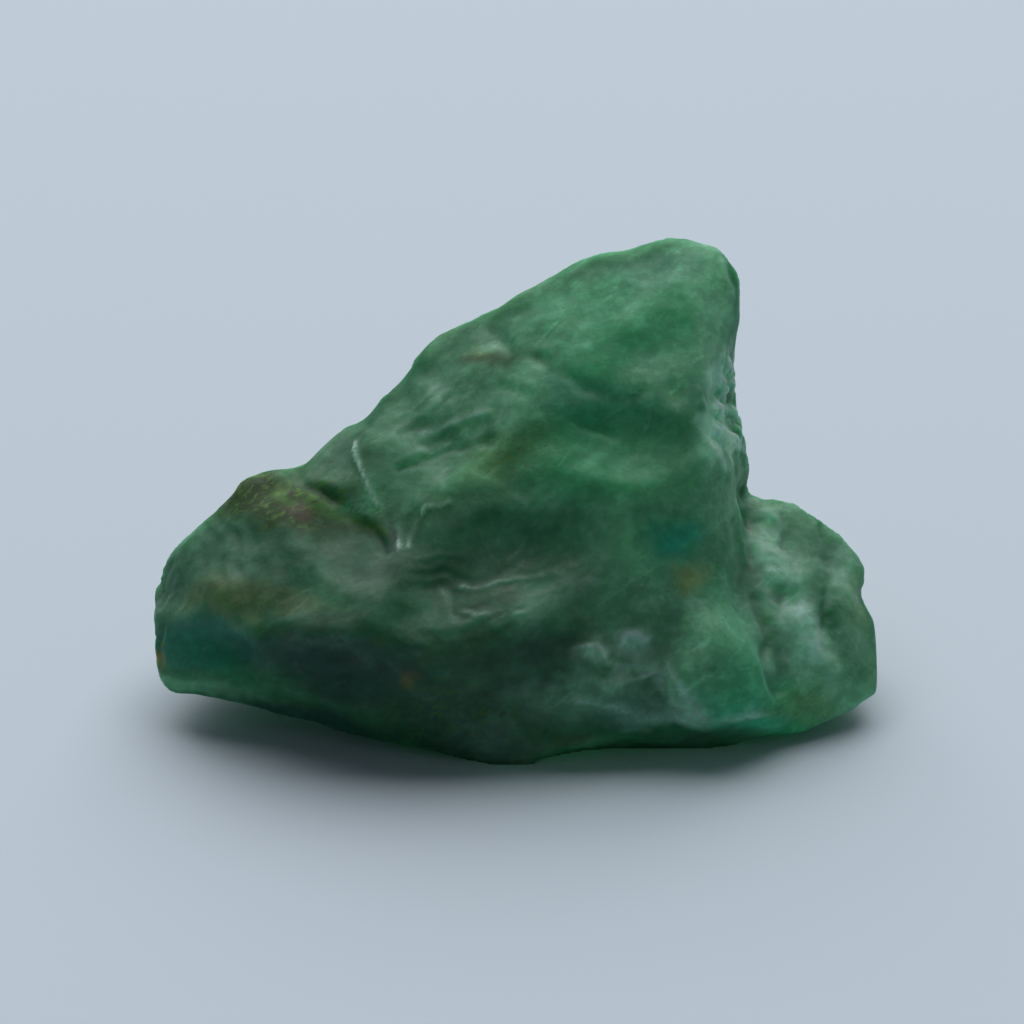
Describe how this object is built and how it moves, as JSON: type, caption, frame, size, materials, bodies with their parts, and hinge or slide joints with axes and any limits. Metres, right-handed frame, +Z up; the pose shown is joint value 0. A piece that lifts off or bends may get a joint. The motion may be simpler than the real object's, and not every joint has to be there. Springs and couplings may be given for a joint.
{
  "type": "raw emerald crystal",
  "caption": "Irregular translucent green gemstone fragment with glassy fractured faces, a blunt spire at one end and a flat fracture to rest on.",
  "frame": {"origin": "centre of the bounding box's footprint, at the height of the face that the stone rests on", "axes": "+Z up from the rest face, +X from the low rounded end towards the small lobe beside the spire, -Y towards the broad leaning face"},
  "size_m": [0.014, 0.0086, 0.0084],
  "materials": {
    "emerald": "gloss"
  },
  "bodies": {
    "root": {"emerald_crystal": "emerald"}
  },
  "joints": []
}
